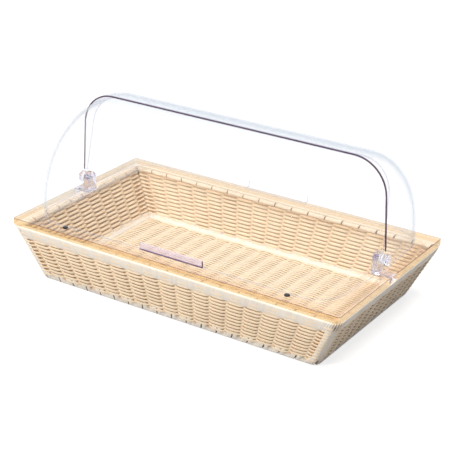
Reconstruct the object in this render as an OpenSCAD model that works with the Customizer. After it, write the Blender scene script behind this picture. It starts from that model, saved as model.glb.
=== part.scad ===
// Countertop display basket with a clear two-shell roll-top cover.
// A flared, woven basket with a wrapped rim carries a clear frame. Two nested quarter-drum
// shells turn about one axis along X, held by a post at the middle of each short side.
// Origin: centre of the footprint on the table. +X along the length, -Y the front, +Z up.

/* [Basket] */
// Length of the basket over its rim
rim_l = 540; // [500:1:600]
// Depth of the basket over its rim
rim_w = 296; // [290:1:340]
// Height of the rim's top above the table
rim_z = 80.6; // [72:0.2:110]
// Length of the basket over its foot
base_l = 460; // [420:1:500]
// Depth of the basket over its foot
base_w = 260; // [240:1:280]
// Corner radius of the rim
rim_r = 10; // [8:1:24]
// Corner radius of the foot
base_r = 9; // [8:1:20]
// Height of the wrapped rim band
rim_h = 17; // [12:0.5:22]
// Thickness of the wrapped rim band
rim_t = 12; // [9:0.5:14]
// Height of the wrapped border around the foot
border_h = 13; // [9:0.5:18]
// Thickness of the wrapped border around the foot
border_t = 8; // [6:0.5:12]
// Amount the wrapped bands stand proud of the woven wall
band_proud = 1; // [0.4:0.1:2]
// Thickness of the woven wall
wall_t = 4; // [3:0.2:6]
// Height of one course of the weave
course_h = 2.8; // [2.2:0.1:4]
// Amount every second course stands back
course_step = 0.5; // [0.2:0.1:1]
// Thickness of the woven floor
floor_t = 3; // [2:0.5:5]
// Spacing of the stakes that the weave passes
stake_pitch = 26; // [18:1:36]
// Diameter of the round floor stakes
stake_d = 3; // [2:0.2:4]
// Width of the ledge that the floor lies on
ledge_w = 4; // [3:0.5:6]
// Thickness of the ledge that the floor lies on
ledge_t = 3; // [2:0.5:5]

/* [Cover frame] */
// Thickness of the clear frame
frame_t = 3; // [2:0.2:4]
// Height of the frame's skirt, outside
skirt_h = 10.6; // [8:0.2:16]
// Corner radius of the frame
frame_r = 4; // [3:1:14]
// Width of the frame's flange at the short sides
flange_end = 36; // [34:1:42]
// Width of the frame's flange at the long sides
flange_side = 23; // [20:1:30]
// Corner radius of the frame's window
window_r = 16; // [8:1:30]
// Depth of the lip that locates the frame inside the rim
lip_h = 6; // [4:0.5:10]
// Gap between the locating lip and the rim
lip_gap = 1.5; // [0.5:0.1:3]
// Diameter of the rubber bumpers
bumper_d = 8; // [6:0.5:10]
// Distance of each bumper from the frame's end
bumper_in = 86; // [60:1:130]

/* [Shells] */
// Distance between the frame's long side and the outer shell
shell_side = 10; // [7:0.5:14]
// Distance between the frame's end and the end wall of the outer shell
shell_end = 14; // [12:0.5:20]
// Height of the turning axis above the frame's face
axis_h = 20; // [18:0.5:26]
// Wall thickness of both shells
shell_t = 2.2; // [1.8:0.1:2.6]
// Radial gap between the two shells
nest_gap = 3.8; // [3:0.1:5]
// Gap between the end walls of the two shells
end_gap = 1.6; // [1.2:0.1:2.4]
// Radius of the rounded corner between drum and end wall
corner_r = 52; // [40:1:60]
// Lean of the end walls, in degrees
draft = 3.1; // [1:0.1:5]
// Radius of the flat disc of the end wall around the pin
flat_r = 16; // [14:0.5:20]
// Radius of the rounded ear around the pin
ear_r = 13; // [10:0.5:15]
// Gap between the shells' lower edges and the frame
edge_gap = 2.2; // [1.6:0.1:3]
// Angle that the front shell reaches back under the rear shell
overlap_a = 10; // [5:0.5:14]

/* [Grips] */
// Length of both grips
grip_l = 104; // [60:1:160]
// Height of both grips
grip_h = 11; // [8:0.5:14]
// Amount the front grip stands proud of its shell
front_proud = 3.1; // [2:0.1:3.2]
// Reach of the rear grip from its shell
rear_reach = 10; // [8:0.5:10.5]
// Thickness of the rear grip
grip_t = 2.5; // [2:0.1:3.5]

/* [Hinges] */
// Depth of each hinge post
post_w = 20; // [16:1:26]
// Thickness of each hinge post
post_t = 8; // [6:0.5:9]
// Gap between the post and the front shell's end wall
post_gap = 1; // [0.8:0.1:1.6]
// Radius of the pivot pin
pin_r = 3; // [2:0.1:4]
// Running clearance of the pin in the shells
pin_gap = 0.06; // [0.03:0.01:0.1]
// Radius of the knob on the pin
knob_r = 8; // [6:0.5:10]
// Thickness of the knob
knob_t = 5; // [3:0.5:7]
// Width of the post's strap over the frame
strap_w = 18; // [12:1:20]
// Thickness of the strap
strap_t = 1.5; // [1:0.1:2]
// Length of the strap's tab down the skirt
tab_h = 9; // [6:0.5:10]
// Radius of the washers
washer_r = 7; // [5:0.5:9]
// Side clearance of the washers and of glued pieces
seat_gap = 0.1; // [0.05:0.01:0.2]

/* [Hidden] */
$fn = 96;

frame_z = rim_z + skirt_h;               // top face of the clear frame
shell_r = rim_w / 2 - shell_side;        // outer radius of the rear shell
shell_x = rim_l / 2 - shell_end;         // half length of the rear shell at its axis
bumper_x = rim_l / 2 - bumper_in;        // place of each bumper along the frame
axis_z = frame_z + axis_h;               // turning axis
edge_z = frame_z + edge_gap;             // lower edge of both shells
in_r = shell_r - shell_t - nest_gap;     // outer radius of the front shell
in_x = shell_x - shell_t - end_gap;      // half length of the front shell
post_x = in_x - shell_t - post_gap;      // outer face of the post
win_l = rim_l - 2 * flange_end;
win_w = rim_w - 2 * flange_side;
wall_top = rim_z - rim_h;
n_course = floor((wall_top - border_h) / course_h);
step_h = (wall_top - border_h) / n_course;
blend = 0.02;                            // the corner arc stands this much over its tangents
clear = "#e6eef3";
wicker = "#eedcbd";

// Outline of the flared basket at height z: half length, half depth and corner radius.
function hl(z) = (base_l + (rim_l - base_l) * z / rim_z) / 2;
function hw(z) = (base_w + (rim_w - base_w) * z / rim_z) / 2;
function cr(z) = base_r + (rim_r - base_r) * z / rim_z;

// Rounded rectangle, half sizes a and b.
module rrect(a, b, r) {
    square([2 * (a - r), 2 * b], center = true);
    square([2 * a, 2 * (b - r)], center = true);
    for (x = [-1, 1], y = [-1, 1]) translate([x * (a - r), y * (b - r)]) circle(r);
}

// Thin slice of the basket's outline at height z, drawn in by inset.
module slice(z, inset) {
    translate([0, 0, z]) linear_extrude(0.01)
        rrect(hl(z) - inset, hw(z) - inset, max(cr(z) - inset, 2));
}

// Ring between two rounded rectangles, from z0 to z1.
module ring(z0, z1, a, b, r, t) {
    translate([0, 0, z0]) linear_extrude(z1 - z0) difference() {
        rrect(a, b, r);
        rrect(a - t, b - t, max(r - t, 2));
    }
}

module woven_wall() {
    color(wicker) for (i = [0 : n_course - 1]) {
        z = border_h + i * step_h;
        s = (i % 2) * course_step;
        ring(z, z + step_h + (i < n_course - 1 ? 0.02 : 0), hl(z) - s, hw(z) - s, cr(z) - s, wall_t - 2 * s);
    }
}

module rim_band() {
    color("#efe6d8") difference() {
        hull() {
            slice(wall_top, -band_proud);
            slice(rim_z - 2, -band_proud);
            slice(rim_z - 0.01, 1);
        }
        hull() {
            slice(wall_top - 0.02, rim_t);
            slice(rim_z + 0.02, rim_t);
        }
    }
}

module base_border() {
    color("#efe0c6") difference() {
        hull() {
            slice(0, 1.5);
            slice(2.5, -band_proud);
            slice(border_h - 2.5, -band_proud);
            slice(border_h - 0.01, 0);
        }
        translate([0, 0, ledge_t]) linear_extrude(border_h)
            rrect(base_l / 2 - border_t, base_w / 2 - border_t, max(base_r - border_t, 3));
        translate([0, 0, -1]) linear_extrude(border_h)
            rrect(base_l / 2 - border_t - ledge_w, base_w / 2 - border_t - ledge_w, 3);
    }
}

module woven_floor() {
    a = base_l / 2 - border_t - seat_gap;
    b = base_w / 2 - border_t - seat_gap;
    color("#e8d3ae") translate([0, 0, ledge_t]) linear_extrude(floor_t)
        rrect(a, b, max(base_r - border_t, 3));
}

// Round stakes across the floor, lying on its weave.
module floor_stakes() {
    b = base_w / 2 - border_t - 1;
    n = floor((base_l / 2 - border_t - stake_d) / stake_pitch);
    color("#e2caa0") for (i = [-n : n])
        translate([i * stake_pitch, b, ledge_t + floor_t + stake_d / 2]) rotate([90, 0, 0])
            cylinder(h = 2 * b, d = stake_d);
}

module cover_frame() {
    color(clear, 0.4) difference() {
        union() {
            ring(frame_z - frame_t, frame_z, rim_l / 2, rim_w / 2, frame_r, 6);
            translate([0, 0, frame_z - frame_t]) linear_extrude(frame_t) difference() {
                rrect(rim_l / 2 - 3, rim_w / 2 - 3, frame_r);
                rrect(win_l / 2, win_w / 2, window_r);
            }
            ring(rim_z, frame_z, rim_l / 2, rim_w / 2, frame_r, frame_t);
            ring(rim_z - lip_h, frame_z - frame_t, hl(rim_z - lip_h) - rim_t - lip_gap,
                 hw(rim_z - lip_h) - rim_t - lip_gap, frame_r, frame_t);
        }
        for (s = [0, 1]) mirror([s, 0, 0]) strap(seat_gap);
    }
}

// Strap of a hinge post: let into the frame's face and down its skirt.
module strap(g) {
    x0 = post_x - post_t;
    translate([x0 - g, -strap_w / 2 - g, frame_z - strap_t - g])
        cube([rim_l / 2 - x0 + g, strap_w + 2 * g, strap_t + g]);
    translate([rim_l / 2 - strap_t - g, -strap_w / 2 - g, frame_z - tab_h - g])
        cube([strap_t + g, strap_w + 2 * g, tab_h + g]);
}

module hinge_posts() {
    color(clear, 0.6) for (s = [0, 1]) mirror([s, 0, 0]) difference() {
        union() {
            translate([post_x - post_t, -post_w / 2, frame_z]) cube([post_t, post_w, axis_h]);
            translate([post_x - post_t, 0, axis_z]) rotate([0, 90, 0])
                cylinder(h = post_t, d = post_w);
            strap(0);
        }
        translate([post_x - post_t - 1, 0, axis_z]) rotate([0, 90, 0])
            cylinder(h = post_t + 2, r = pin_r);
    }
}

// Pin with a round knob outside the shells.
module pivot_pins() {
    color(clear, 0.7) for (s = [0, 1]) mirror([s, 0, 0]) translate([0, 0, axis_z]) rotate([0, 90, 0]) {
        translate([0, 0, post_x - post_t]) cylinder(h = shell_x + 0.3 - post_x + post_t, r = pin_r);
        translate([0, 0, shell_x + 0.3]) rotate_extrude()
            polygon([[0, 0], [knob_r, 0], [knob_r, knob_t - 1.2], [knob_r - 1.2, knob_t], [0, knob_t]]);
    }
}

module washer(x, t) {
    translate([x, 0, axis_z]) rotate([0, 90, 0]) difference() {
        cylinder(h = t, r = washer_r);
        translate([0, 0, -1]) cylinder(h = t + 2, r = pin_r + pin_gap);
    }
}

module post_washers() {
    color("white") for (s = [0, 1]) mirror([s, 0, 0])
        washer(post_x + seat_gap, post_gap - 2 * seat_gap);
}

module shell_washers() {
    color("white") for (s = [0, 1]) mirror([s, 0, 0])
        washer(in_x + seat_gap, end_gap - 2 * seat_gap);
}

module bumpers() {
    y = sqrt(in_r * in_r - pow(axis_z - edge_z, 2)) + 2;
    color("#1c1b1e") for (x = [-1, 1]) translate([x * bumper_x, -y, frame_z])
        cylinder(h = edge_gap - 0.3, d = bumper_d);
}

// Half of the section of a drum with rounded corners: radius across, axis upwards.
module drum_half(r, x, c) {
    k = x * cos(draft) + flat_r * sin(draft);
    xc = (k - c - (r - c) * sin(draft)) / cos(draft);
    polygon([[0, -1], [0, x], [flat_r, x], [r - c + c * sin(draft), xc + c * cos(draft)], [r, xc],
             [r, -1]]);
    translate([r - c, xc]) circle(c + blend);
}

module drum_section(r, x, c, t) {
    for (s = [0, 1]) mirror([0, s]) difference() {
        drum_half(r, x, c);
        drum_half(r - t, x - t, c - t);
    }
}

// Sector of a drum about the turning axis, from angle a0 to a1. 0 is the rear, 90 is up.
module sector(a0, a1) {
    translate([0, 0, axis_z]) rotate([90, 0, 90]) rotate([0, 0, a0]) rotate_extrude(angle = a1 - a0)
        children();
}

module below_edge() {
    translate([-rim_l, -rim_l, edge_z - rim_l]) cube([2 * rim_l, 2 * rim_l, rim_l]);
}

module ears(x) {
    for (s = [0, 1]) mirror([s, 0, 0]) translate([x - shell_t + seat_gap / 2, 0, axis_z])
        rotate([0, 90, 0]) cylinder(h = shell_t - seat_gap, r = ear_r);
}

module pin_holes() {
    translate([-shell_x - knob_t, 0, axis_z]) rotate([0, 90, 0])
        cylinder(h = 2 * (shell_x + knob_t), r = pin_r + pin_gap);
}

module front_shell() {
    color(clear, 0.3) difference() {
        union() {
            sector(90 - overlap_a, 270) drum_section(in_r, in_x, corner_r - shell_t - nest_gap, shell_t);
            ears(in_x);
        }
        below_edge();
        pin_holes();
    }
}

module rear_shell() {
    color(clear, 0.3) difference() {
        union() {
            sector(-90, 90) drum_section(shell_r, shell_x, corner_r, shell_t);
            ears(shell_x);
        }
        below_edge();
        pin_holes();
    }
}

module front_grip() {
    a = asin((axis_z - edge_z - 0.3) / in_r);
    color("#cfc9e4", 0.8) difference() {
        sector(180 + a - grip_h / in_r * 180 / PI, 180 + a + 2)
            translate([in_r + 0.02, -grip_l / 2]) square([front_proud, grip_l]);
        translate([0, 0, 0.3]) below_edge();
    }
}

module rear_grip() {
    y0 = shell_r * 0.9;
    y1 = sqrt(shell_r * shell_r - axis_h * axis_h) + rear_reach;
    z0 = edge_z + 0.3;
    color("#cfc9e4", 0.8) difference() {
        translate([-grip_l / 2, 0, 0]) rotate([90, 0, 90]) linear_extrude(grip_l)
            polygon([[y0, z0], [y1, z0], [y1, z0 + grip_h], [y1 - grip_t, z0 + grip_h],
                     [y1 - grip_t, z0 + grip_t], [y0, z0 + grip_t]]);
        translate([-rim_l / 2, 0, axis_z]) rotate([0, 90, 0]) cylinder(h = rim_l, r = shell_r + 0.02);
    }
}

woven_wall();
rim_band();
base_border();
woven_floor();
floor_stakes();
cover_frame();
hinge_posts();
pivot_pins();
post_washers();
shell_washers();
bumpers();
front_shell();
front_grip();
rear_shell();
rear_grip();
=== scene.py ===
import math
import random

import bpy
from mathutils import Matrix, Vector


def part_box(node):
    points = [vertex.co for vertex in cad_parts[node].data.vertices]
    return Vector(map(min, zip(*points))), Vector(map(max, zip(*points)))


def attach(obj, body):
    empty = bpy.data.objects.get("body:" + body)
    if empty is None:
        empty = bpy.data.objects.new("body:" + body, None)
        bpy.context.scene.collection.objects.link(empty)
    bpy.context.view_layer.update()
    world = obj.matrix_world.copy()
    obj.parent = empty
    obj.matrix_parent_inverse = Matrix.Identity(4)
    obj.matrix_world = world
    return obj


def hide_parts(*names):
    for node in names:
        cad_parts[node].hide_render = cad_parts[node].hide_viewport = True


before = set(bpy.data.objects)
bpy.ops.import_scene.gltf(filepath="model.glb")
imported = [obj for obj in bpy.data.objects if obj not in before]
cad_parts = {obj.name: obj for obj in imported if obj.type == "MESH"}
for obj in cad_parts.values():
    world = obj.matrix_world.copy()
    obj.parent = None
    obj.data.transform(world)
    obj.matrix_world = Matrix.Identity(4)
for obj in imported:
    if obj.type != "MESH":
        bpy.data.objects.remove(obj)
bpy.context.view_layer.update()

bl_info = {
    "name": "Countertop bread basket",
    "version": (1, 0, 0),
    "blender": (4, 5, 0),
    "location": "3D View > Sidebar > Bread basket",
    "description": "Woven counter basket with a clear two-shell roll-top cover",
    "category": "Object",
}


def length_setting(name, description, default):
    """A length in metres for the panel."""
    return bpy.props.FloatProperty(
        name=name, description=description, default=default, subtype="DISTANCE", unit="LENGTH")


def angle_setting(name, description, degrees):
    """An angle for the panel."""
    return bpy.props.FloatProperty(
        name=name, description=description, default=math.radians(degrees), subtype="ANGLE")


def colour_setting(name, description, default):
    """A colour for the panel."""
    return bpy.props.FloatVectorProperty(
        name=name, description=description, default=default, subtype="COLOR", size=3)


def count_setting(name, description, default):
    """A number of strands or stakes for the panel."""
    return bpy.props.IntProperty(name=name, description=description, default=default, min=4)


class BasketSettings(bpy.types.PropertyGroup):
    """Sizes and colours of the woven basket."""

    rim_length: length_setting("Rim length", "Length over the rim", 0.540)
    rim_depth: length_setting("Rim depth", "Depth over the rim", 0.296)
    rim_height: length_setting("Rim height", "Top of the rim above the table", 0.0806)
    foot_length: length_setting("Foot length", "Length over the foot", 0.460)
    foot_depth: length_setting("Foot depth", "Depth over the foot", 0.260)
    rim_corner: length_setting("Rim corner", "Corner radius of the rim", 0.010)
    foot_corner: length_setting("Foot corner", "Corner radius of the foot", 0.009)
    rim_band: length_setting("Rim band", "Height of the wrapped rim band", 0.017)
    border: length_setting("Foot border", "Height of the wrapped foot border", 0.013)
    long_stakes: count_setting("Stakes on a long side", "Weave bays along each long side", 18)
    short_stakes: count_setting("Stakes on a short side", "Weave bays along each short side", 10)
    courses: count_setting("Courses", "Woven rows between border and rim", 18)
    strand: colour_setting("Strand", "Colour of the woven strands", (0.83, 0.68, 0.50))
    wrap: colour_setting("Wrapping", "Colour of the wrapped bands", (0.78, 0.725, 0.65))


class CoverSettings(bpy.types.PropertyGroup):
    """Sizes and colours of the clear cover."""

    axis_height: length_setting("Axis height", "Turning axis above the table", 0.1112)
    outer_radius: length_setting("Outer radius", "Radius of the rear shell", 0.138)
    outer_half: length_setting("Outer half length", "Half length of the rear shell", 0.256)
    inner_radius: length_setting("Inner radius", "Radius of the front shell", 0.132)
    inner_half: length_setting("Inner half length", "Half length of the front shell", 0.2522)
    wall: length_setting("Wall", "Thickness of the shells", 0.0022)
    corner: length_setting("Corner", "Radius between drum and end wall of the rear shell", 0.052)
    draft: angle_setting("Draft", "Lean of the end walls", 3.1)
    lower_edge: length_setting("Lower edge", "Height of the shells' lower edge", 0.0934)
    lap: angle_setting("Lap", "Angle of the front shell behind the rear shell's edge", 10)
    clear: colour_setting("Clear plastic", "Tint of the clear plastic", (0.985, 0.989, 0.994))
    # Painted shade: the edge colour darkens the polished edges of the clear shells, for the lines that they
    # show.
    edge: colour_setting("Edge", "Tint of the polished edges", (0.16, 0.10, 0.20))


class StageSettings(bpy.types.PropertyGroup):
    """Camera of the main view."""

    azimuth: angle_setting("Azimuth", "Camera direction round the basket", 33.0)
    elevation: angle_setting("Elevation", "Camera above the horizon", 24.0)
    roll: angle_setting("Roll", "Camera roll", 1.0)
    distance: length_setting("Distance", "Camera distance to its target", 1.8001)
    focal_pixels: bpy.props.FloatProperty(
        name="Focal length", description="Focal length in pixels of the frame", default=1378.5)
    target: bpy.props.FloatVectorProperty(
        name="Target", description="Point at the picture's centre",
        default=(0.0869, -0.1282, 0.1615), subtype="TRANSLATION", size=3)


# Materials

# Shares of a strand's colour in its painted shade, in the open gaps and in the recesses, for red, green and
# blue.
GAP_SHADE_SHARE = (0.22, 0.15, 0.10)
RECESS_SHADE_SHARE = (0.68, 0.44, 0.25)
SHADE_SHARE, LIGHT_SHARE = 0.86, 1.10
DRIFT_WEIGHT = 0.35
GRAIN_DEPTH = 0.0002
PLASTIC_IOR = 1.49


def shade(colour, share):
    return tuple(min(1.0, c * share) for c in colour)


def grey(value):
    return (value,) * 3


def new_material(name):
    m = bpy.data.materials.new(name)
    m.use_nodes = True
    return m, m.node_tree.nodes, m.node_tree.links, m.node_tree.nodes["Principled BSDF"]


def noise(nodes, links, coords, scale, detail=2.0):
    n = nodes.new("ShaderNodeTexNoise")
    n.inputs["Scale"].default_value = scale
    n.inputs["Detail"].default_value = detail
    links.new(coords, n.inputs["Vector"])
    return n


def ramp(nodes, links, source, stops):
    """A colour ramp whose stops are (position, colour)."""
    r = nodes.new("ShaderNodeValToRGB")
    links.new(source, r.inputs["Fac"])
    while len(r.color_ramp.elements) < len(stops):
        r.color_ramp.elements.new(0.5)
    for element, (position, colour) in zip(r.color_ramp.elements, stops):
        element.position, element.color = position, (*colour, 1)
    return r


def grain(nodes, links, shader, coords, scale, strength):
    """Fine grain of the surface as a shallow bump."""
    fine = noise(nodes, links, coords, scale)
    bump = nodes.new("ShaderNodeBump")
    bump.inputs["Strength"].default_value = strength
    bump.inputs["Distance"].default_value = GRAIN_DEPTH
    links.new(fine.outputs["Fac"], bump.inputs["Height"])
    links.new(bump.outputs["Normal"], shader.inputs["Normal"])


def strand_material(name, colour, rough=0.5):
    """Moulded flat strand: slow colour drift, the mesh's tones and a fine grain. The tones hold random
    differences and also painted shade and highlight.
    """
    m, nodes, links, shader = new_material(name)
    coords = nodes.new("ShaderNodeTexCoord").outputs["Object"]
    tone = nodes.new("ShaderNodeAttribute")
    tone.attribute_name = "tone"
    drift = noise(nodes, links, coords, 26, 3)
    mix = nodes.new("ShaderNodeMath")
    mix.operation = "MULTIPLY_ADD"
    links.new(drift.outputs["Fac"], mix.inputs[0])
    mix.inputs[1].default_value = DRIFT_WEIGHT
    links.new(tone.outputs["Fac"], mix.inputs[2])
    # Painted shade: the two lowest stops are the colours of shadowed gaps and recesses, reached where the
    # mesh's tone is darkened.
    gap = tuple(c * k for c, k in zip(colour, GAP_SHADE_SHARE))
    recess_shade = tuple(c * k for c, k in zip(colour, RECESS_SHADE_SHARE))
    stops = [
        (0.0, gap),
        (0.10, recess_shade),
        (0.38, shade(colour, SHADE_SHARE)),
        (0.62, colour),
        (0.92, shade(colour, LIGHT_SHARE)),
    ]
    tint = ramp(nodes, links, mix.outputs[0], stops)
    links.new(tint.outputs["Color"], shader.inputs["Base Color"])
    grain(nodes, links, shader, coords, 900, 0.25)
    worn = ramp(nodes, links, drift.outputs["Fac"], [(0.2, grey(rough - 0.08)), (0.8, grey(rough + 0.1))])
    links.new(worn.outputs["Color"], shader.inputs["Roughness"])
    shader.inputs["Specular IOR Level"].default_value = 0.45
    shader.inputs["Subsurface Weight"].default_value = 0.08
    shader.inputs["Subsurface Radius"].default_value = (0.004, 0.003, 0.002)
    return m


def smear(nodes, links, shader, low, high):
    """Wide, faint smears in the polish, from roughness low to high."""
    coords = nodes.new("ShaderNodeTexCoord").outputs["Object"]
    cloud = noise(nodes, links, coords, 9, 4)
    worn = ramp(nodes, links, cloud.outputs["Fac"], [(0.35, grey(low)), (0.75, grey(high))])
    links.new(worn.outputs["Color"], shader.inputs["Roughness"])


def pass_shadows(nodes, links, surface, tint):
    """Lets shadow rays through with a slight tint, and links the result to the output."""
    path = nodes.new("ShaderNodeLightPath")
    clear = nodes.new("ShaderNodeBsdfTransparent")
    clear.inputs["Color"].default_value = (*tint, 1)
    mix = nodes.new("ShaderNodeMixShader")
    links.new(path.outputs["Is Shadow Ray"], mix.inputs["Fac"])
    links.new(surface, mix.inputs[1])
    links.new(clear.outputs["BSDF"], mix.inputs[2])
    links.new(mix.outputs["Shader"], nodes["Material Output"].inputs["Surface"])


def block_material(name, tint, rough, ior=PLASTIC_IOR):
    """Polished clear plastic of a solid block, which bends what is seen through it."""
    m, nodes, links, shader = new_material(name)
    shader.inputs["Base Color"].default_value = (*tint, 1)
    shader.inputs["Transmission Weight"].default_value = 1
    shader.inputs["IOR"].default_value = ior
    smear(nodes, links, shader, rough, rough + 0.03)
    pass_shadows(nodes, links, shader.outputs["BSDF"], (0.95, 0.96, 0.97))
    return m


def sheet_material(name, tint, haze=0.012, rim_haze=0.55, rim_tint=(0.72, 0.78, 0.86), gloss=1.0,
                   body=(0.78, 0.85, 0.93)):
    """Clear moulded sheet that doesn't bend the view.

    Face on it has tint and haze, and towards grazing angles rim_tint and rim_haze. The haze has
    the colour body. gloss scales the mirror shine."""
    m, nodes, links, shader = new_material(name)
    shader.inputs["Base Color"].default_value = (*body, 1)
    shader.inputs["IOR"].default_value = PLASTIC_IOR
    smear(nodes, links, shader, 0.03, 0.10)
    weight = nodes.new("ShaderNodeLayerWeight")
    weight.inputs["Blend"].default_value = 0.5
    grazing = weight.outputs["Facing"]

    see = nodes.new("ShaderNodeBsdfTransparent")
    between = tuple(0.6 * a + 0.4 * b for a, b in zip(tint, rim_tint))
    tone = ramp(nodes, links, grazing, [(0.0, tint), (0.60, tint), (0.86, between), (1.0, rim_tint)])
    links.new(tone.outputs["Color"], see.inputs["Color"])
    stops = [
        (0.0, grey(haze)),
        (0.60, grey(haze * 1.3)),
        (0.90, grey((haze + rim_haze) / 2.5)),
        (1.0, grey(rim_haze)),
    ]
    veil = ramp(nodes, links, grazing, stops)
    milky = nodes.new("ShaderNodeMixShader")
    links.new(veil.outputs["Color"], milky.inputs["Fac"])
    links.new(see.outputs["BSDF"], milky.inputs[1])
    links.new(shader.outputs["BSDF"], milky.inputs[2])

    shine = nodes.new("ShaderNodeBsdfGlossy")
    shine.inputs["Roughness"].default_value = 0.04
    shine.inputs["Color"].default_value = (0.94, 0.96, 1.0, 1)
    fifth = nodes.new("ShaderNodeMath")
    fifth.operation = "POWER"
    links.new(grazing, fifth.inputs[0])
    fifth.inputs[1].default_value = 5
    mirror = nodes.new("ShaderNodeMath")
    mirror.operation = "MULTIPLY_ADD"
    links.new(fifth.outputs[0], mirror.inputs[0])
    mirror.inputs[1].default_value = 0.35 * gloss
    mirror.inputs[2].default_value = 0.015 * gloss
    seen = nodes.new("ShaderNodeMixShader")
    links.new(mirror.outputs[0], seen.inputs["Fac"])
    links.new(milky.outputs["Shader"], seen.inputs[1])
    links.new(shine.outputs["BSDF"], seen.inputs[2])
    pass_shadows(nodes, links, seen.outputs["Shader"], grey(0.99))
    return m


def solid_material(name, colour, rough):
    """Opaque plastic or rubber with a slow colour drift and a fine grain."""
    m, nodes, links, shader = new_material(name)
    coords = nodes.new("ShaderNodeTexCoord").outputs["Object"]
    drift = noise(nodes, links, coords, 60, 3)
    tint = ramp(nodes, links, drift.outputs["Fac"], [(0.3, shade(colour, 0.85)), (0.7, shade(colour, 1.1))])
    links.new(tint.outputs["Color"], shader.inputs["Base Color"])
    shader.inputs["Roughness"].default_value = rough
    grain(nodes, links, shader, coords, 700, 0.1)
    return m


def direct_rays(nodes, links):
    """1 for camera, transmission and glossy rays, and 0 for the rays that light the scene."""
    path = nodes.new("ShaderNodeLightPath")
    either = path.outputs["Is Camera Ray"]
    for ray in ("Is Transmission Ray", "Is Glossy Ray"):
        larger = nodes.new("ShaderNodeMath")
        larger.operation = "MAXIMUM"
        links.new(either, larger.inputs[0])
        links.new(path.outputs[ray], larger.inputs[1])
        either = larger.outputs[0]
    return either


# Mesh helpers


def tint_faces(obj, material, wanted):
    """Gives the faces that wanted(face) picks another material."""
    obj.data.materials.append(material)
    index = len(obj.data.materials) - 1
    for face in obj.data.polygons:
        if wanted(face):
            face.material_index = index


def deselect():
    if bpy.context.object and bpy.context.object.mode != "OBJECT":
        bpy.ops.object.mode_set(mode="OBJECT")
    bpy.ops.object.select_all(action="DESELECT")


def pick(obj):
    deselect()
    obj.select_set(True)
    bpy.context.view_layer.objects.active = obj


def edit_all(obj):
    """Opens obj in edit mode with everything selected."""
    pick(obj)
    bpy.ops.object.mode_set(mode="EDIT")
    bpy.ops.mesh.select_all(action="SELECT")


def mesh_object(name, verts, faces, tones=None):
    me = bpy.data.meshes.new(name)
    me.from_pydata(verts, [], faces)
    if tones:
        a = me.attributes.new("tone", "FLOAT", "POINT")
        a.data.foreach_set("value", tones)
    obj = bpy.data.objects.new(name, me)
    bpy.context.scene.collection.objects.link(obj)
    return obj


def smooth(obj, degrees=35):
    pick(obj)
    bpy.ops.object.shade_smooth_by_angle(angle=math.radians(degrees))


def place(obj, body, material, slot, *nodes):
    """Gives obj its material and body, and hides the nodes that it stands for. slot is not used."""
    obj.data.materials.clear()
    obj.data.materials.append(material)
    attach(obj, body)
    if nodes:
        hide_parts(*nodes)


def flat_section(width, thick, n=8):
    """Rounded flat strand section, as (across, along) offsets."""
    pts = []
    for i in range(n):
        a = 2 * math.pi * (i + 0.5) / n
        c, s = math.cos(a), math.sin(a)
        across = thick / 2 * math.copysign(abs(c) ** 0.7, c)
        pts.append((across, width / 2 * math.copysign(abs(s) ** 0.7, s)))
    return pts


def tube_faces(base, rings, n, closed):
    """Faces of a tube: rings of n points each, from index base on, closed round or capped."""
    faces = []
    last = rings if closed else rings - 1
    for i in range(last):
        a, b = base + i * n, base + ((i + 1) % rings) * n
        for j in range(n):
            k = (j + 1) % n
            faces.append((a + j, b + j, b + k, a + k))
    if not closed:
        faces.append(tuple(base + j for j in range(n)))
        faces.append(tuple(base + (rings - 1) * n + j for j in reversed(range(n))))
    return faces


# Basket


class Outline:
    """The flared outline of the basket: a rounded rectangle whose sizes change with height.

    A place on it is a bay coordinate u. The sides hold one bay per stake and each corner is one
    bay more, in the order front, front right corner, right, rear right corner, rear, ..."""

    def __init__(self, s):
        self.s = s
        self.bays = [s.long_stakes, 1, s.short_stakes, 1] * 2
        self.total = sum(self.bays)

    def spans(self):
        """Start, number of bays and whether it is a corner, for each side and corner in turn."""
        start = 0
        for i, n in enumerate(self.bays):
            yield start, n, i % 2 == 1
            start += n

    def size(self, z):
        """Half length, half depth and corner radius at height z."""
        s, k = self.s, z / self.s.rim_height
        return (
            (s.foot_length + (s.rim_length - s.foot_length) * k) / 2,
            (s.foot_depth + (s.rim_depth - s.foot_depth) * k) / 2,
            s.foot_corner + (s.rim_corner - s.foot_corner) * k,
        )

    def at(self, u, z, inset=0.0):
        """Point and outward direction at bay coordinate u, at height z, drawn in by inset."""
        a, b, r = self.size(z)
        u = u % self.total
        corners = [(a - r, -b + r), (a - r, b - r), (-a + r, b - r), (-a + r, -b + r)]
        starts = [-90, 0, 90, 180]
        for i, n in enumerate(self.bays):
            if u <= n:
                break
            u -= n
        k = u / n
        side = i // 2
        if i % 2:
            ang = math.radians(starts[side] + 90 * k)
            d = Vector((math.cos(ang), math.sin(ang), 0))
            return Vector((*corners[side], z)) + d * (r - inset), d
        ang = math.radians(starts[side])
        d = Vector((math.cos(ang), math.sin(ang), 0))
        p0, p1 = Vector((*corners[side - 1], z)), Vector((*corners[side], z))
        return p0.lerp(p1, k) + d * (r - inset), d

    def corner(self, u):
        """1 in the middle of a corner bay, falling to 0 half a bay beyond its ends."""
        best = 0.0
        for start, n, is_corner in self.spans():
            if is_corner:
                away = abs((u - start - n / 2 + self.total / 2) % self.total - self.total / 2)
                best = max(best, 1 - away)
        return best

    def lean(self, u, z):
        """Unit vectors across and up the wall's slope at u."""
        step = 0.001
        p0, d = self.at(u, z)
        p1, _ = self.at(u, z + step)
        m = (p1 - p0).dot(d) / step
        return (d - Vector((0, 0, m))).normalized(), (d * m + Vector((0, 0, 1))).normalized()


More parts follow.
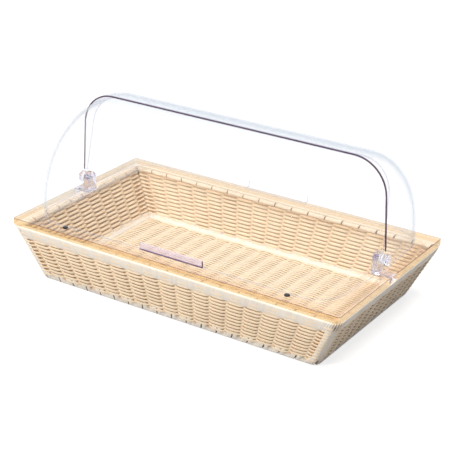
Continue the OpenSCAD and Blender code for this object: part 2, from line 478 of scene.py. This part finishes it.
WALL_DEPTH = 0.004
STAKE_RADIUS = 0.0013
STRAND_THICKNESS = 0.0018
STRAND_STEPS = 7  # rings per bay
ROWS_BELOW, ROWS_ABOVE = 2, 4  # hidden rows behind border and rim
PLATEAU = 1.55  # above 1, a strand lies flat over its stake for part of the bay
SWELL = 0.44  # how much wider a strand is where it passes a stake
HOLE_PLACE, HOLE_WIDTH, HOLE_PINCH = 0.70, 0.13, 0.45  # the gap beside each upright corner
CORNER_STAKE_RADIUS, CORNER_STAKE_PLACE = 0.0016, 0.2
CORE_HALF = 0.0001  # the thin sheet that keeps light from shining through the weave


def woven_rows(s, o):
    """Flat strands that pass in front of and behind upright stakes, row by row."""
    z0 = s.border
    pitch = (s.rim_height - s.rim_band - z0) / s.courses
    swing = STAKE_RADIUS + STRAND_THICKNESS / 2
    section = flat_section(pitch, STRAND_THICKNESS)
    verts, faces, tones = [], [], []
    rnd = random.Random(7)
    for row in range(-ROWS_BELOW, s.courses + ROWS_ABOVE):
        z = z0 + (row + 0.5) * pitch
        tone = rnd.uniform(0.34, 0.52)
        base, rings = len(verts), o.total * STRAND_STEPS
        for i in range(rings):
            u = i / STRAND_STEPS
            p, _ = o.at(u, z, WALL_DEPTH / 2)
            across, up = o.lean(u, z)
            w = max(-1.0, min(1.0, PLATEAU * math.cos(math.pi * (u + row))))
            beside = (1 - o.corner(u) - HOLE_PLACE) / HOLE_WIDTH
            hole = math.exp(-beside * beside)
            wide = (1.0 + SWELL * abs(w) ** 1.5) * (1 - HOLE_PINCH * hole)
            for (c, v) in section:
                verts.append(p + across * (swing * w + c) + up * v * wide)
                # Painted shade and highlight: a strand's face that lies back in the weave is darkened and
                # one that stands forward is lightened, and its upper and lower edges are darkened as shade
                # between rows.
                facing = w * (1 if c > 0 else -1)
                painted_relief_light = (0.12 if facing > 0 else 0.42) * facing
                tones.append(tone + painted_relief_light - 0.06 * (abs(v) > pitch * 0.35))
        faces += tube_faces(base, rings, len(section), True)
    return mesh_object("woven_strands", verts, faces, tones)


def wall_stakes(s, o):
    """Round upright stakes, darker ones beside the corners, and the thin core sheet. Their tones are
    painted shade, for the gaps of the weave where they show.
    """
    z0, z1 = s.border, s.rim_height - s.rim_band
    around = 8
    verts, faces, tones = [], [], []
    # Painted shade: the stakes take a deep-shade tone and those beside the corners the darkest one, where
    # they show in the gaps of the weave.
    uprights = [(k, STAKE_RADIUS, 0.15) for k in range(o.total)]
    for start, n, is_corner in o.spans():
        if is_corner:
            for u in (start - CORNER_STAKE_PLACE, start + n + CORNER_STAKE_PLACE):
                uprights.append((u, CORNER_STAKE_RADIUS, 0.0))
    for u, radius, tone in uprights:
        base = len(verts)
        for z in (z0 - 0.004, (z0 + z1) / 2, z1 + 0.011):
            p, d = o.at(u, z, WALL_DEPTH / 2 + (radius - STAKE_RADIUS))
            side = Vector((-d.y, d.x, 0))
            for j in range(around):
                a = 2 * math.pi * j / around
                verts.append(p + (d * math.cos(a) + side * math.sin(a)) * radius)
                tones.append(tone)
        faces += tube_faces(base, 3, around, False)

    # Painted shade: the core sheet takes the recess tone, so it shows as shade behind the weave.
    low, high = z0 - 0.004, z1 + 0.012
    corners = ((low, -CORE_HALF), (high, -CORE_HALF), (high, CORE_HALF), (low, CORE_HALF))
    base, rings = len(verts), o.total * 2
    for i in range(rings):
        for z, inset in corners:
            p, _ = o.at(i / 2, z, WALL_DEPTH / 2 + inset)
            verts.append(p)
            tones.append(0.10)
    faces += tube_faces(base, rings, len(corners), True)
    return mesh_object("wall_stakes", verts, faces, tones)


def corner_strips(s, o):
    """A smooth flat strip bent round each upright corner, between foot and rim."""
    z0, z1 = s.border - 0.003, s.rim_height - s.rim_band + 0.004
    overhang = 0.13
    across, levels = 12, 8
    outer, outer_end, inner_side = -0.0008, -0.0003, 0.0016
    verts, faces, tones = [], [], []
    for start, n, is_corner in o.spans():
        if not is_corner:
            continue
        first, last = start - overhang, start + n + overhang
        ring = [(first + (last - first) * k / across, False) for k in range(across + 1)]
        ring += [(u, True) for u, _ in reversed(ring)]
        base = len(verts)
        for level in range(levels + 1):
            z = z0 + (z1 - z0) * level / levels
            for k, (u, inner) in enumerate(ring):
                end = k in (0, across, across + 1, 2 * across + 1)
                depth = inner_side if inner else (outer_end if end else outer)
                p, _ = o.at(u, z, depth)
                verts.append(p)
                tones.append(0.42)
        faces += tube_faces(base, levels + 1, len(ring), False)
    return mesh_object("corner_strips", verts, faces, tones)


# Where a turn of the wrapping is measured, as a share of its width, and the groove's depth there.
WRAP_SIDE = ((0, 1.0), (0.16, 0.7), (0.34, 0.05), (0.6, 0.0), (0.86, 0.5))
WRAP_CORNER = ((0, 1.0), (0.26, 0.9), (0.40, 0.05), (0.66, 0.0), (0.90, 0.6))
WRAPS = 8  # turns per bay


def wrap_samples(o, rnd, groove, corner_groove, arch):
    """Rings along a band: bay coordinate, groove, whether in a slit, arched hollow and tone, which holds
    painted shade that deepens with the groove.
    """
    samples = []
    for start, n, is_corner in o.spans():
        count = WRAPS * 5 // 8 if is_corner else WRAPS
        slit_wrap, slit_end = (count // 2, 0.7) if is_corner else (0, 0.4)
        for bay in range(n):
            for w in range(count):
                tone = rnd.uniform(0.36, 0.50)
                for k, g in WRAP_CORNER if is_corner else WRAP_SIDE:
                    f = (w + k) / count
                    u = start + bay + f
                    depth = g * (groove + (corner_groove - groove) * o.corner(u))
                    slit = w == slit_wrap and k < slit_end
                    hollow = 0.0 if is_corner else arch * max(0.0, 1 - ((f - 0.5) / 0.24) ** 2)
                    # Painted shade: a turn's tone is darkened by its groove's depth.
                    samples.append((u, depth, slit, hollow, tone - min(0.45, depth * 360)))
    return samples


def wrapped_band(o, name, profile, groove, corner_groove, lean_bays, seed, tick=0.0, arch=0.0,
                 inner_tick=0.0):
    """A band whose section is profile, wound round with flat strands side by side.

    lean_bays tilts the turns. tick is the depth of the slit once a bay on the outside, inner_tick
    on the inside, and arch the depth of the arched hollow along the outer top of each bay."""
    samples = wrap_samples(o, random.Random(seed), groove, corner_groove, arch)
    count = len(profile)
    middle = sum(p[1] for p in profile) / count
    top = max(p[1] for p in profile)
    inward = []
    for j in range(count):
        a, b = profile[j - 1], profile[(j + 1) % count]
        inward.append(Vector((b[1] - a[1], a[0] - b[0])).normalized())
    verts, tones = [], []
    for (u, g, slit, hollow, tone) in samples:
        for (inset, z), turn in zip(profile, inward):
            outer = turn.x > 0
            depth = g
            if slit:
                depth = max(g, tick if outer else inner_tick)
            q = Vector((inset, z)) + turn * depth
            # Painted shade: turns in a slit and along the arched hollow are darkened.
            painted_shade = 0.75 * (slit and depth > g)
            if hollow and outer and z > top - 0.0035:
                q += Vector((hollow, -hollow * 0.25))
                painted_shade += min(0.48, hollow * 300)
            p, _ = o.at(u + lean_bays * (z - middle) / 0.01, q.y, q.x)
            verts.append(p)
            tones.append(tone - painted_shade)
    return mesh_object(name, verts, tube_faces(0, len(samples), count, True), tones)


def arc(cx, cz, r, a0, a1, n=4):
    """Points of a rounded corner, from angle a0 to a1 in degrees."""
    angles = [math.radians(a0 + (a1 - a0) * i / n) for i in range(n + 1)]
    return [(cx + r * math.cos(a), cz + r * math.sin(a)) for a in angles]


def foot_profile(outer, inner, low, floor, high, r):
    """Section of the foot border: a rounded outer roll that falls away to the floor inside."""
    return (
        arc(outer + r, low + r, r, 270, 180)
        + arc(outer + r, high - r, r, 180, 90)
        + arc(outer + r + 0.0010, high - 0.0012, 0.0012, 90, 20, 3)
        + [(outer + r + 0.0030, floor + 0.0022), (inner - 0.0012, floor + 0.0006), (inner, floor)]
        + [(inner, low + 0.0008), (inner - 0.0008, low)]
    )


def rim_profile(outer, inner, low, step, high, r):
    """Section of the rim: a deep outer face, a rounded top and a shallow inner face."""
    skin = outer + 0.0018
    return (
        arc(outer + 0.0008, low + 0.0008, 0.0008, 270, 180, 2)
        + arc(outer + r, high - r, r, 180, 90)
        + arc(inner - r, high - r, r, 90, 0)
        + arc(inner - 0.0025, step + 0.0025, 0.0025, 0, -90, 3)
        + [(skin + 0.002, step), (skin, step - 0.001), (skin, low)]
    )


FLOOR_INSET = 0.0082
FLOOR_HEIGHT = 0.006
FLOOR_STAKE_RADIUS = 0.0012
FLOOR_STRAND_THICKNESS = 0.0012
FLOOR_PITCH = 0.0030
FLOOR_BAY = 0.026
FLOOR_STEPS = 5  # rings per bay


def floor_half(s):
    return s.foot_length / 2 - FLOOR_INSET, s.foot_depth / 2 - FLOOR_INSET


def floor_rows(s):
    """Plain weave over the basket's floor."""
    half_x, half_y = floor_half(s)
    section = flat_section(FLOOR_PITCH * 1.04, FLOOR_STRAND_THICKNESS, 6)
    swing = FLOOR_STAKE_RADIUS + FLOOR_STRAND_THICKNESS / 2
    rows, n = int(2 * half_y / FLOOR_PITCH), int(half_x / FLOOR_BAY)
    verts, faces, tones = [], [], []
    rnd = random.Random(11)
    xs = [x * FLOOR_BAY / FLOOR_STEPS for x in range(-n * FLOOR_STEPS, n * FLOOR_STEPS + 1)]
    xs = [-half_x] + xs + [half_x]
    for row in range(rows):
        y = -half_y + (row + 0.5) * 2 * half_y / rows
        tone = rnd.uniform(0.34, 0.50)
        base = len(verts)
        for x in xs:
            w = math.cos(math.pi * (x / FLOOR_BAY + row))
            w = math.copysign(abs(w) ** 1.1, w)
            for (c, v) in section:
                verts.append(Vector((x, y + v * (1 + 0.35 * abs(w)), FLOOR_HEIGHT + w * swing + c)))
                # Painted shade and highlight: strands are lightened where they rise over a stake and
                # darkened where they dip under one.
                tones.append(tone + (0.08 if w > 0 else 0.25) * w)
        faces += tube_faces(base, len(xs), len(section), False)
    return mesh_object("floor_strands", verts, faces, tones)


def floor_stakes(s):
    """Round stakes across the floor, one per bay of its weave."""
    half_x, half_y = floor_half(s)
    n, around, r = int(half_x / FLOOR_BAY), 8, FLOOR_STAKE_RADIUS
    verts, faces = [], []
    for k in range(-n, n + 1):
        base = len(verts)
        for y in (-half_y, 0, half_y):
            for j in range(around):
                a = 2 * math.pi * j / around
                verts.append(Vector((k * FLOOR_BAY + r * math.cos(a), y, FLOOR_HEIGHT + r * math.sin(a))))
        faces += tube_faces(base, 3, around, False)
    # Painted shade: the floor stakes take a tone a little below the strands', where they show between them.
    return mesh_object("floor_cross_stakes", verts, faces, [0.3] * len(verts))


# Cover

HUB_FLAT = 0.016  # the end wall stands upright up to this distance from the axis
HUB_HOLE = 0.0115
EAR_RADIUS = 0.013


def drum_profile(r, x, c, wall, draft, r_in):
    """Closed section of a shell, as (along the axis, radius), the outside first.

    r is the drum's radius, x half its length, c the radius between drum and end wall."""

    def side(r, x, c):
        k = x * math.cos(draft) + HUB_FLAT * math.sin(draft)
        xc = (k - c - (r - c) * math.sin(draft)) / math.cos(draft)
        pts = [(x, r_in), (x, HUB_FLAT)]
        for i in range(13):
            a = draft + (math.pi / 2 - draft) * i / 12
            pts.append((xc + c * math.cos(a), r - c + c * math.sin(a)))
        return pts

    def mirrored(pts):
        return [(-h, q) for h, q in reversed(pts)]

    out, inn = side(r, x, c), side(r - wall, x - wall, c - wall)
    return out + mirrored(out) + list(reversed(mirrored(inn))) + list(reversed(inn))


def shell(name, s, r, x, c, a0, a1):
    """A quarter drum with rounded corners, spun about the turning axis and cut level below.

    Round hinge ears close the end walls about the axis."""
    z = s.axis_height
    section = drum_profile(r, x, c, s.wall, s.draft, HUB_HOLE)
    first = [Vector((h, q * math.cos(a0), z + q * math.sin(a0))) for h, q in section]
    obj = mesh_object(name, first, [tuple(range(len(first)))])
    edit_all(obj)
    # The spin turns against the angle that it is given, so this one goes from a0 to a1.
    steps = int(abs(a1 - a0) / math.radians(2.5))
    bpy.ops.mesh.spin(steps=steps, angle=a0 - a1, center=(0, 0, z), axis=(1, 0, 0))
    bpy.ops.mesh.select_all(action="SELECT")
    bpy.ops.mesh.remove_doubles(threshold=1e-6)
    bpy.ops.mesh.normals_make_consistent(inside=False)
    bpy.ops.mesh.bisect(
        plane_co=(0, 0, s.lower_edge), plane_no=(0, 0, 1), use_fill=True, clear_inner=True)
    bpy.ops.object.mode_set(mode="OBJECT")
    for side in (-1, 1):
        bpy.ops.object.select_all(action="DESELECT")
        bpy.ops.mesh.primitive_cylinder_add(
            vertices=48, radius=EAR_RADIUS, depth=s.wall - 0.0002,
            location=(side * (x - s.wall / 2), 0, z), rotation=(0, math.pi / 2, 0))
        ear = bpy.context.object
        bpy.ops.object.transform_apply(location=True, rotation=True, scale=True)
        deselect()
        ear.select_set(True)
        obj.select_set(True)
        bpy.context.view_layer.objects.active = obj
        bpy.ops.object.join()
    smooth(obj, 30)
    return obj


def dressed(node, name, bevel, segments=2):
    """A copy of a moulded piece with its edges eased."""
    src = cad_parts[node]
    obj = bpy.data.objects.new(name, src.data.copy())
    bpy.context.scene.collection.objects.link(obj)
    obj.data.name = name
    edit_all(obj)
    if obj.data.has_custom_normals:
        bpy.ops.mesh.customdata_custom_splitnormals_clear()
    bpy.ops.mesh.remove_doubles(threshold=1e-6)
    bpy.ops.mesh.dissolve_limited(angle_limit=math.radians(1))
    bpy.ops.object.mode_set(mode="OBJECT")
    if bevel:
        b = obj.modifiers.new("ease", "BEVEL")
        b.width, b.segments, b.limit_method, b.angle_limit = bevel, segments, "ANGLE", math.radians(50)
        b.harden_normals = False
        bpy.ops.object.modifier_apply(modifier=b.name)
    smooth(obj, 35)
    return obj


# Steps


class BASKET_OT_wall(bpy.types.Operator):
    """Weave the four flared walls."""

    bl_idname = "basket.wall"
    bl_label = "Woven wall"

    def execute(self, context):
        s = context.scene.basket
        o = Outline(s)
        strands, stakes = woven_rows(s, o), wall_stakes(s, o)
        cream = strand_material("strand_cream", tuple(s.strand))
        smooth(strands, 60)
        smooth(stakes, 60)
        place(strands, "basket", cream, "weave_cream", "woven_wall")
        place(stakes, "basket", strand_material("stake_cream", shade(s.strand, 0.9)), "weave_cream")
        strips = corner_strips(s, o)
        smooth(strips, 60)
        place(strips, "basket", strand_material("strip_cream", tuple(s.wrap), 0.45), "weave_cream")
        return {"FINISHED"}


class BASKET_OT_bands(bpy.types.Operator):
    """Wind the rim band and the foot border."""

    bl_idname = "basket.bands"
    bl_label = "Wrapped bands"

    def execute(self, context):
        s = context.scene.basket
        o = Outline(s)
        top = s.rim_height
        profile = rim_profile(-0.0011, 0.0098, top - s.rim_band, top - 0.0056, top, 0.0030)
        rim = wrapped_band(o, "rim_wrap", profile, groove=0.00018, corner_groove=0.0015,
                           lean_bays=0.02, seed=3, inner_tick=0.0014)
        smooth(rim, 60)
        place(rim, "basket", strand_material("wrap_cream", tuple(s.wrap), 0.45), "rim_cream", "rim_band")
        profile = foot_profile(-0.0010, 0.0095, 0.0, 0.0072, s.border, 0.0032)
        foot = wrapped_band(o, "foot_wrap", profile, groove=0.00012, corner_groove=0.0010,
                            lean_bays=0.05, seed=5, tick=0.0024, arch=0.0030)
        smooth(foot, 60)
        cream = strand_material("wrap_foot", shade(s.wrap, 0.97), 0.5)
        place(foot, "basket", cream, "border_cream", "base_border")
        return {"FINISHED"}


class BASKET_OT_floor(bpy.types.Operator):
    """Weave the floor."""

    bl_idname = "basket.floor"
    bl_label = "Woven floor"

    def execute(self, context):
        s = context.scene.basket
        strands, stakes = floor_rows(s), floor_stakes(s)
        smooth(strands, 60)
        smooth(stakes, 60)
        cream = strand_material("floor_cream", shade(s.strand, 0.96))
        place(strands, "basket", cream, "floor_cream", "woven_floor")
        darker = strand_material("floor_stake_cream", shade(s.strand, 0.88))
        place(stakes, "basket", darker, "stake_cream", "floor_stakes")
        return {"FINISHED"}


class COVER_OT_frame(bpy.types.Operator):
    """Ease the edges of the clear frame and its bumpers."""

    bl_idname = "cover.frame"
    bl_label = "Cover frame"

    def execute(self, context):
        _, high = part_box("cover_frame")
        end, side, top = high
        piece = dressed("cover_frame", "clear_frame", 0.0006)
        # Painted warm light: the clear frame's warm tint warms the rim seen through it, standing in for
        # warm bounce light.
        clear = sheet_material("frame_clear", (0.985, 0.95, 0.905), haze=0.02, rim_haze=0.35, gloss=1.4)
        place(piece, "basket", clear, "frame_clear", "cover_frame")
        # Painted shade: the frame's top outer edge gets a darkened clear material, for the line that the
        # polished edge shows.
        painted_shade = sheet_material(
            "frame_edge_painted_shade", (0.40, 0.28, 0.30), haze=0.5, rim_haze=0.6, rim_tint=(0.30, 0.20, 0.23),
            gloss=0.6, body=(0.20, 0.12, 0.13))
        # Painted light: the skirt's yellow-orange tint and haze paint the warm light that shows in the
        # frame's clear outer face.
        skirt = sheet_material(
            "frame_skirt_painted_light", (0.92, 0.80, 0.60), haze=0.28, rim_haze=0.45, rim_tint=(0.78, 0.66, 0.50),
            gloss=0.7, body=(0.74, 0.52, 0.27))

        def outside(f, margin):
            return abs(f.center.x) > end - margin or abs(f.center.y) > side - margin

        tint_faces(piece, skirt, lambda f: (
            abs(f.normal.z) < 0.3 and f.center.z > 0.081 and outside(f, 0.001)))
        tint_faces(piece, painted_shade, lambda f: (
            f.center.z > top - 0.0008 and f.normal.z < 0.97 and outside(f, 0.002)))
        rubber = solid_material("bumper_rubber", (0.02, 0.02, 0.024), 0.6)
        feet = dressed("bumpers", "rubber_bumpers", 0.0006, 3)
        place(feet, "basket", rubber, "bumper_black", "bumpers")
        return {"FINISHED"}


class COVER_OT_hinges(bpy.types.Operator):
    """Posts, pins and washers of the hinges."""

    bl_idname = "cover.hinges"
    bl_label = "Hinges"

    def execute(self, context):
        posts = dressed("hinge_posts", "post_blocks", 0.0004)
        lilac = block_material("post_clear", (0.80, 0.79, 0.90), 0.05, ior=1.25)
        place(posts, "basket", lilac, "post_clear", "hinge_posts")
        pins = dressed("pivot_pins", "pivot_knobs", 0.0003)
        paler = block_material("pin_clear", (0.84, 0.83, 0.92), 0.04)
        place(pins, "basket", paler, "pin_clear", "pivot_pins")
        white = solid_material("washer_white", (0.86, 0.86, 0.88), 0.35)
        inner = dressed("post_washers", "inner_washers", 0)
        place(inner, "basket", white, "washer_white", "post_washers")
        outer = dressed("shell_washers", "outer_washers", 0)
        place(outer, "basket", white, "washer_white_thin", "shell_washers")
        return {"FINISHED"}


class COVER_OT_shells(bpy.types.Operator):
    """Spin the two clear shells."""

    bl_idname = "cover.shells"
    bl_label = "Roll-top shells"

    def execute(self, context):
        s = context.scene.cover
        gap = s.outer_radius - s.inner_radius
        quarter = math.radians(90)
        front = shell("front_clear_shell", s, s.inner_radius, s.inner_half, s.corner - gap,
                      quarter - s.lap, 3 * quarter)
        clear = sheet_material("front_clear", tuple(s.clear))
        place(front, "front_cover", clear, "front_clear", "front_shell")
        rear = shell("rear_clear_shell", s, s.outer_radius, s.outer_half, s.corner, quarter, -quarter)
        clear = sheet_material("rear_clear", tuple(s.clear))
        place(rear, "rear_cover", clear, "rear_clear", "rear_shell")

        # Painted shade: a narrow strip along the rear shell's front edge gets a darkened clear material,
        # but for the far end's lower part, where it gets a fainter one, as do the lower edges and the front
        # shell's hidden edge.
        strip, hub, fade, slack = 0.0011, 0.016, 0.092, 1e-4
        edit_all(rear)
        bpy.ops.mesh.bisect(plane_co=(0, strip, 0), plane_no=(0, 1, 0))
        bpy.ops.object.mode_set(mode="OBJECT")
        painted_shade = sheet_material(
            "edge_painted_shade", tuple(s.edge), haze=0.8, rim_haze=0.8, rim_tint=(0.20, 0.12, 0.22),
            gloss=0.4, body=(0.07, 0.035, 0.075))
        faint = sheet_material("edge_faint_painted_shade", (0.74, 0.72, 0.80), haze=0.12, rim_haze=0.4)

        def in_strip(f):
            return -slack < f.center.y < strip and f.center.z > s.axis_height + hub

        def far_and_low(f):
            return f.center.x < 0 and f.center.z <= s.axis_height + fade

        def hidden_edge(f):
            across = f.normal.y * math.cos(s.lap) - f.normal.z * math.sin(s.lap)
            return abs(across) > 0.99 and f.center.y > 0 and f.center.z > s.axis_height

        tint_faces(rear, painted_shade, lambda f: in_strip(f) and not far_and_low(f))
        tint_faces(front, faint, hidden_edge)
        tint_faces(rear, faint, lambda f: in_strip(f) and far_and_low(f))
        for piece in (front, rear):
            tint_faces(piece, faint, lambda f: (
                f.normal.z < -0.99 and abs(f.center.z - s.lower_edge) < slack))
        return {"FINISHED"}


class COVER_OT_grips(bpy.types.Operator):
    """Grips on the lower edges of both shells."""

    bl_idname = "cover.grips"
    bl_label = "Grips"

    def execute(self, context):
        front = dressed("front_grip", "front_lip", 0.0005)
        lilac = sheet_material(
            "front_grip_lilac", (0.90, 0.86, 0.93), haze=0.24, rim_haze=0.5, rim_tint=(0.7, 0.66, 0.8),
            gloss=1.5, body=(0.86, 0.81, 0.91))
        place(front, "front_cover", lilac, "front_grip_lilac", "front_grip")
        low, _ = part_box("front_grip")
        # Painted shade: the grip's lowest faces and its right end get a darkened material, for the shade
        # under the grip and on its end.
        painted_shade = sheet_material(
            "grip_edge_painted_shade", (0.34, 0.25, 0.42), haze=0.6, rim_haze=0.6, rim_tint=(0.3, 0.22, 0.38),
            gloss=1.0, body=(0.16, 0.10, 0.22))
        tint_faces(front, painted_shade, lambda f: f.center.z < low[2] + 0.0016 or f.normal.x > 0.9)
        rear = dressed("rear_grip", "rear_lip", 0.0005)
        paler = sheet_material(
            "rear_grip_lilac", (0.97, 0.97, 0.985), haze=0.015, rim_haze=0.12,
            rim_tint=(0.86, 0.87, 0.93), gloss=0.5)
        place(rear, "rear_cover", paler, "rear_grip_lilac", "rear_grip")
        # Painted shade: the rear grip's ends get a darker clear material.
        end = sheet_material("rear_grip_end_painted_shade", (0.72, 0.70, 0.80), haze=0.2, rim_haze=0.4)
        tint_faces(rear, end, lambda f: abs(f.normal.x) > 0.5)
        return {"FINISHED"}


# A ray through both shells and the frame passes many clear faces, so it needs many bounces.
CLEAR_BOUNCES, ALL_BOUNCES = 48, 16
BASKET_MIDDLE = Vector((0, 0, 0.1))
# Name, place, power in watts, size and colour of each lamp.
LAMPS = (
    ("key", (-0.65, -2.0, 1.45), 58, 0.9, (1.0, 0.96, 0.90)),
    ("top", (0.8, 0.0, 2.4), 46, 0.8, (1.0, 0.93, 0.84)),
    ("fill", (1.8, -1.6, 0.9), 2, 1.2, (0.95, 0.97, 1.0)),
    ("back", (-0.5, 2.1, 1.3), 9, 1.0, (1.0, 0.97, 0.93)),
)
SENSOR_WIDTH = 36  # millimetres
FRAME_PIXELS = 454


def white_floor():
    """A floor that keeps the basket's shadow and glows to white around it."""
    deselect()
    bpy.ops.mesh.primitive_plane_add(size=12, location=(0, 0, 0))
    floor = bpy.context.object
    floor.name = "floor"
    m, nodes, links, shader = new_material("floor_white")
    shader.inputs["Base Color"].default_value = (0.34, 0.34, 0.35, 1)
    shader.inputs["Roughness"].default_value = 0.8
    shader.inputs["Specular IOR Level"].default_value = 0.1
    glow = nodes.new("ShaderNodeEmission")
    glow.inputs["Color"].default_value = (1, 1, 1, 1)
    glow.inputs["Strength"].default_value = 0.76
    both = nodes.new("ShaderNodeAddShader")
    links.new(shader.outputs["BSDF"], both.inputs[0])
    links.new(glow.outputs["Emission"], both.inputs[1])
    mix = nodes.new("ShaderNodeMixShader")
    links.new(direct_rays(nodes, links), mix.inputs["Fac"])
    links.new(shader.outputs["BSDF"], mix.inputs[1])
    links.new(both.outputs["Shader"], mix.inputs[2])
    links.new(mix.outputs["Shader"], nodes["Material Output"].inputs["Surface"])
    floor.data.materials.append(m)


def white_world(scene):
    """A background that is seen white and lights the scene with a weak cool light."""
    world = bpy.data.worlds.new("studio_world")
    scene.world = world
    world.use_nodes = True
    nodes, links = world.node_tree.nodes, world.node_tree.links
    light = nodes["Background"]
    light.inputs["Color"].default_value = (0.93, 0.96, 1.0, 1)
    light.inputs["Strength"].default_value = 0.25
    white = nodes.new("ShaderNodeBackground")
    white.inputs["Color"].default_value = (1, 1, 1, 1)
    white.inputs["Strength"].default_value = 1
    mix = nodes.new("ShaderNodeMixShader")
    links.new(direct_rays(nodes, links), mix.inputs["Fac"])
    links.new(light.outputs["Background"], mix.inputs[1])
    links.new(white.outputs["Background"], mix.inputs[2])
    links.new(mix.outputs["Shader"], nodes["World Output"].inputs["Surface"])


def add_lamps(scene):
    """Soft lamps that don't show as patches in the clear shells."""
    for name, where, power, size, colour in LAMPS:
        lamp = bpy.data.lights.new(name, "AREA")
        lamp.energy, lamp.size, lamp.color = power, size, colour
        obj = bpy.data.objects.new(name, lamp)
        scene.collection.objects.link(obj)
        obj.location = where
        obj.rotation_euler = (BASKET_MIDDLE - Vector(where)).to_track_quat("-Z", "Y").to_euler()
        obj.visible_glossy = False


def add_camera(scene, s):
    a, e, r = s.azimuth, s.elevation, s.roll
    back = Vector((math.sin(a) * math.cos(e), -math.cos(a) * math.cos(e), math.sin(e)))
    right = (-back).cross(Vector((0, 0, 1))).normalized()
    up = right.cross(-back)
    right, up = right * math.cos(r) + up * math.sin(r), up * math.cos(r) - right * math.sin(r)
    cam = bpy.data.cameras.new("camera")
    cam.sensor_width = SENSOR_WIDTH
    cam.lens = s.focal_pixels * SENSOR_WIDTH / FRAME_PIXELS
    obj = bpy.data.objects.new("camera", cam)
    scene.collection.objects.link(obj)
    m = Matrix((right, up, back)).transposed().to_4x4()
    m.translation = Vector(s.target) + back * s.distance
    obj.matrix_world = m
    scene.camera = obj


class STAGE_OT_studio(bpy.types.Operator):
    """White floor and backdrop, soft lamps and the camera."""

    bl_idname = "stage.studio"
    bl_label = "Studio"

    def execute(self, context):
        scene = context.scene
        scene.view_settings.view_transform = "Standard"
        scene.cycles.transparent_max_bounces = CLEAR_BOUNCES
        scene.cycles.max_bounces = ALL_BOUNCES
        white_floor()
        white_world(scene)
        add_lamps(scene)
        add_camera(scene, scene.studio)
        return {"FINISHED"}


STEPS = (
    STAGE_OT_studio,
    BASKET_OT_wall,
    BASKET_OT_bands,
    BASKET_OT_floor,
    COVER_OT_frame,
    COVER_OT_hinges,
    COVER_OT_shells,
    COVER_OT_grips,
)


class VIEW3D_PT_bread_basket(bpy.types.Panel):
    """Lists the steps and sizes of the basket."""

    bl_label = "Bread basket"
    bl_idname = "VIEW3D_PT_bread_basket"
    bl_space_type = "VIEW_3D"
    bl_region_type = "UI"
    bl_category = "Bread basket"

    def draw(self, context):
        for step in STEPS:
            self.layout.operator(step.bl_idname)
        for group in (context.scene.basket, context.scene.cover, context.scene.studio):
            for key in group.__annotations__:
                self.layout.prop(group, key)


CLASSES = (BasketSettings, CoverSettings, StageSettings, *STEPS, VIEW3D_PT_bread_basket)


def register():
    for c in CLASSES:
        bpy.utils.register_class(c)
    bpy.types.Scene.basket = bpy.props.PointerProperty(type=BasketSettings)
    bpy.types.Scene.cover = bpy.props.PointerProperty(type=CoverSettings)
    bpy.types.Scene.studio = bpy.props.PointerProperty(type=StageSettings)


def unregister():
    for name in ("basket", "cover", "studio"):
        delattr(bpy.types.Scene, name)
    for c in reversed(CLASSES):
        bpy.utils.unregister_class(c)


def main():
    register()
    for step in STEPS:
        group, name = step.bl_idname.split(".")
        getattr(getattr(bpy.ops, group), name)()


if __name__ == "__main__":
    main()
